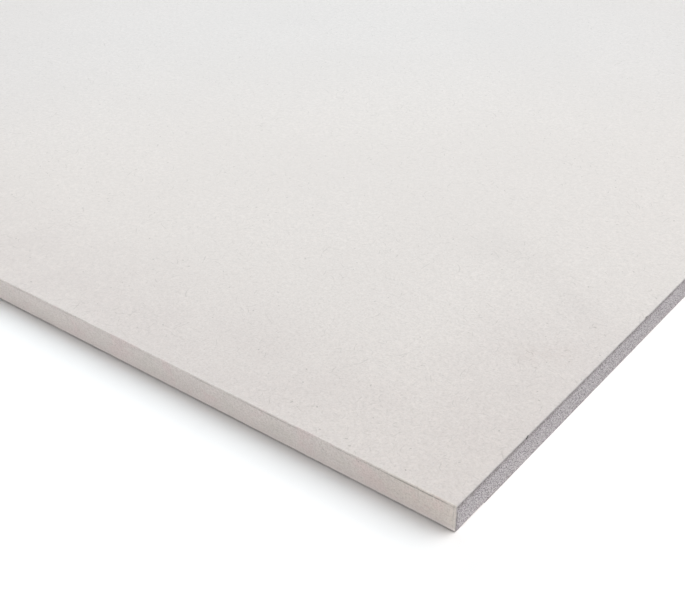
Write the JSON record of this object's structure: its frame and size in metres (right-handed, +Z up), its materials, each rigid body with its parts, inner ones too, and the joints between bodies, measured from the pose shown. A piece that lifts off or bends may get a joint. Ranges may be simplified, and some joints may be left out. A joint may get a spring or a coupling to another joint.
{
  "type": "drywall sheet",
  "caption": "Flat square-edge drywall sheet: a gypsum core, an ivory face paper folded round both long edges and a grey back paper, for lining walls and ceilings.",
  "frame": {"origin": "centre of the back face, where the sheet lies on the floor", "axes": "+X along the length between the cut ends, +Y across the width between the wrapped long edges, +Z up through the thickness from the back to the face side"},
  "size_m": [2.4, 1.2, 0.0125],
  "materials": {
    "gypsum": "matte",
    "face_paper": "matte",
    "back_paper": "matte"
  },
  "bodies": {
    "root": {"gypsum_core": "gypsum", "face_paper": "face_paper", "back_paper": "back_paper"}
  },
  "joints": []
}
